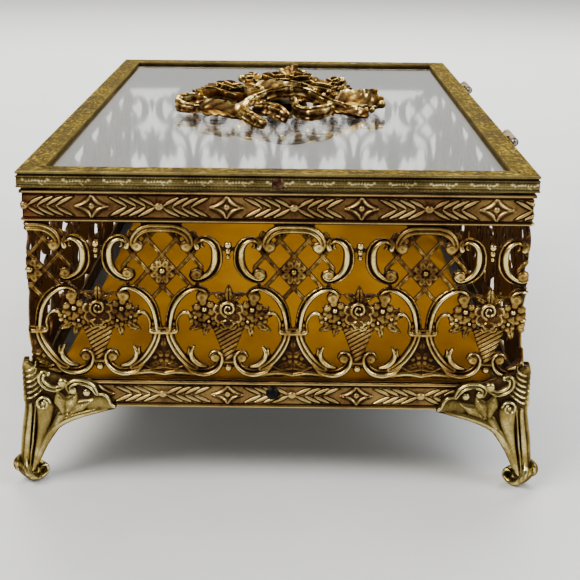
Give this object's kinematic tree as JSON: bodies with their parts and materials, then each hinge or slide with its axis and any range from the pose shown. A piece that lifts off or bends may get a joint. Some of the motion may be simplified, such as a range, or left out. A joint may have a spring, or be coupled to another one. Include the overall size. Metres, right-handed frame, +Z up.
{
  "type": "trinket box",
  "caption": "Ormolu vanity trinket box: pierced basket-and-lattice gallery on splayed feet, hinged glass lid with a cast rose spray, amber padded floor.",
  "frame": {"origin": "on the resting plane, under the middle of the box", "axes": "+Z up; the long sides run along Y; the lid opens on the -X side and hinges on the +X side"},
  "size_m": [0.1218, 0.1952, 0.085],
  "materials": {
    "antique_gilt": "gilded pressed brass with red-brown patina in the recesses",
    "antique_gilt_band": "gilded pressed brass band, copper-brown in the grooves",
    "copper_patina_band": "gilded band worn to a red-copper ground",
    "antique_gilt_feet": "bright olive-gold pressed brass, dark in the recesses",
    "matte_gilt_lid": "pale matte gilt with a bark-like texture",
    "aged_gilt_spray": "aged gilt casting, blackened in the folds",
    "tarnished_brass": "tarnished brass",
    "tarnished_rivet": "tarnished dark brown",
    "dark_inner_brass": "dark brown unpolished brass",
    "washer_brass": "plain brass",
    "floor_tin": "dark lacquered tinplate",
    "blackened_steel": "blackened steel",
    "pin_steel": "drawn steel wire",
    "clear_glass": "clear plate glass",
    "amber_velvet": "amber cotton velvet"
  },
  "bodies": {
    "case": {"base_band": "antique_gilt_band", "gallery_front": "antique_gilt", "gallery_back": "antique_gilt", "gallery_left_end": "antique_gilt", "gallery_right_end": "antique_gilt", "rim_band": "copper_patina_band", "floor_plate": "floor_tin", "floor_pad": "amber_velvet", "foot_front_left": "antique_gilt_feet", "foot_front_right": "antique_gilt_feet", "foot_back_left": "antique_gilt_feet", "foot_back_right": "antique_gilt_feet", "foot_screws": "blackened_steel", "base_band_screws": "blackened_steel", "hinge_lower_leaf_left": "tarnished_brass", "hinge_lower_leaf_right": "tarnished_brass", "hinge_pin_left": "pin_steel", "hinge_pin_right": "pin_steel", "hinge_lower_rivets": "tarnished_brass"},
    "lid": {"lid_rail_front": "matte_gilt_lid", "lid_rail_back": "matte_gilt_lid", "lid_rail_left_end": "matte_gilt_lid", "lid_rail_right_end": "matte_gilt_lid", "lid_glass": "clear_glass", "glass_retainer": "dark_inner_brass", "lid_band_rivets": "tarnished_rivet", "hinge_upper_leaf_left": "tarnished_brass", "hinge_upper_leaf_right": "tarnished_brass", "hinge_upper_rivets": "tarnished_brass", "ornament_spray": "aged_gilt_spray", "ornament_stud": "pin_steel", "ornament_washer": "washer_brass", "ornament_nut": "washer_brass"}
  },
  "joints": [
    {"name": "lid_hinge", "type": "hinge", "parent": "case", "child": "lid", "pos_m": [0.0592, 0, 0.0729], "axis": [0, 1, 0], "range_deg": [0, 110]}
  ]
}
